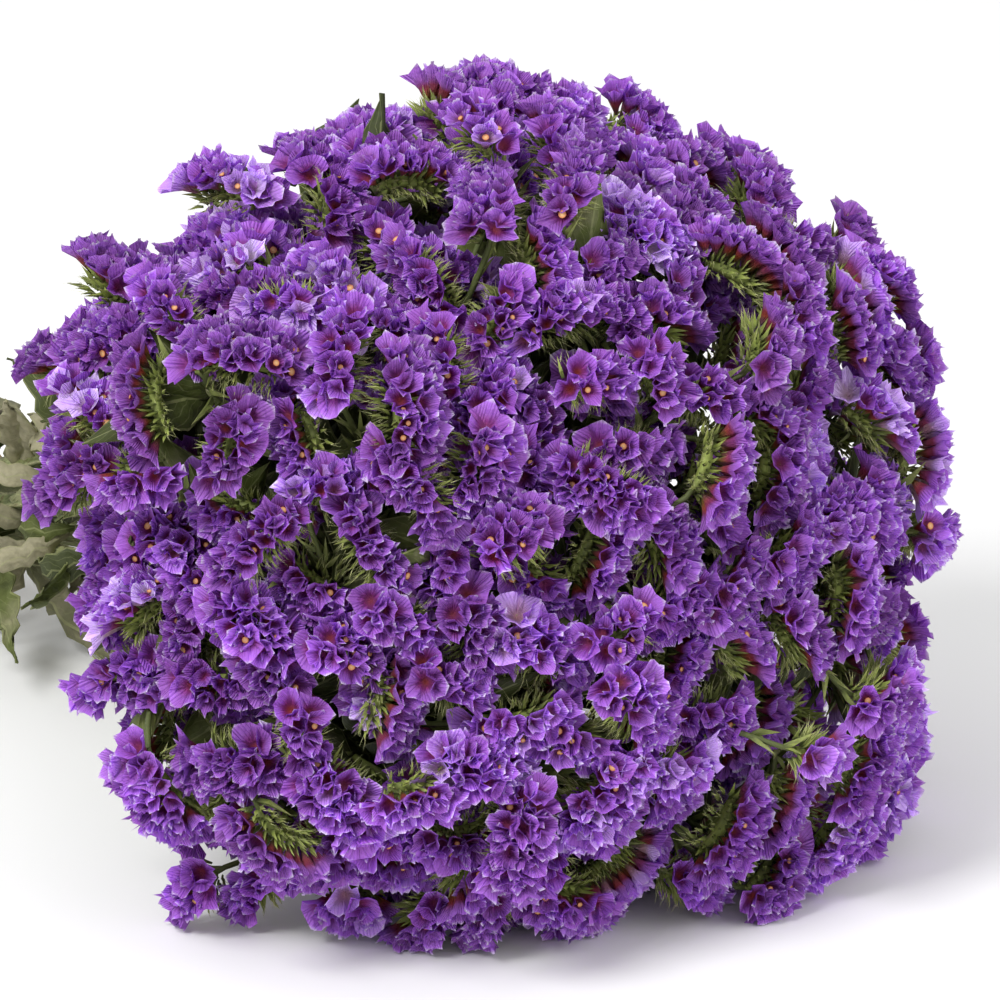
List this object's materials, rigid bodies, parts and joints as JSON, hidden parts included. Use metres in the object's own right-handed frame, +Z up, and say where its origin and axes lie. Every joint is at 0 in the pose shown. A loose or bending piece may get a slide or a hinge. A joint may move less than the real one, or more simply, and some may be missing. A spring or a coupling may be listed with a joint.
{
  "type": "dried statice bunch",
  "caption": "Tied bunch of dried statice, lying on its side, with winged green stems that fan out into a domed head of papery violet flower clusters.",
  "frame": {"origin": "bottom centre of the bunch's bounding box, on the surface that it lies on", "axes": "+Z up, +X along the bunch from the cut stem ends to the flowers, +Y to the left of that"},
  "size_m": [0.4442, 0.3158, 0.2592],
  "materials": {
    "calyx": "matte, papery, slightly translucent",
    "stem": "matte, hairy",
    "twine": "matte, fibrous"
  },
  "bodies": {
    "root": {"stem_01": "stem", "stem_02": "stem", "stem_03": "stem", "stem_04": "stem", "stem_05": "stem", "stem_06": "stem", "stem_07": "stem", "stem_08": "stem", "stem_09": "stem", "stem_10": "stem", "stem_11": "stem", "flowers_01a": "calyx", "flowers_01b": "calyx", "flowers_01c": "calyx", "flowers_01d": "calyx", "flowers_01e": "calyx", "flowers_02a": "calyx", "flowers_02b": "calyx", "flowers_02c": "calyx", "flowers_02d": "calyx", "flowers_02e": "calyx", "flowers_03a": "calyx", "flowers_03b": "calyx", "flowers_03c": "calyx", "flowers_03d": "calyx", "flowers_03e": "calyx", "flowers_04a": "calyx", "flowers_04b": "calyx", "flowers_04c": "calyx", "flowers_04d": "calyx", "flowers_04e": "calyx", "flowers_05a": "calyx", "flowers_05b": "calyx", "flowers_05c": "calyx", "flowers_05d": "calyx", "flowers_06a": "calyx", "flowers_06b": "calyx", "flowers_06c": "calyx", "flowers_06d": "calyx", "flowers_07a": "calyx", "flowers_07b": "calyx", "flowers_07c": "calyx", "flowers_07d": "calyx", "flowers_08a": "calyx", "flowers_08b": "calyx", "flowers_08c": "calyx", "flowers_08d": "calyx", "flowers_09a": "calyx", "flowers_09b": "calyx", "flowers_09c": "calyx", "flowers_09d": "calyx", "flowers_10a": "calyx", "flowers_10b": "calyx", "flowers_10c": "calyx", "flowers_10d": "calyx", "flowers_11a": "calyx", "flowers_11b": "calyx", "flowers_11c": "calyx", "flowers_11d": "calyx", "twine_tie": "twine"}
  },
  "joints": []
}
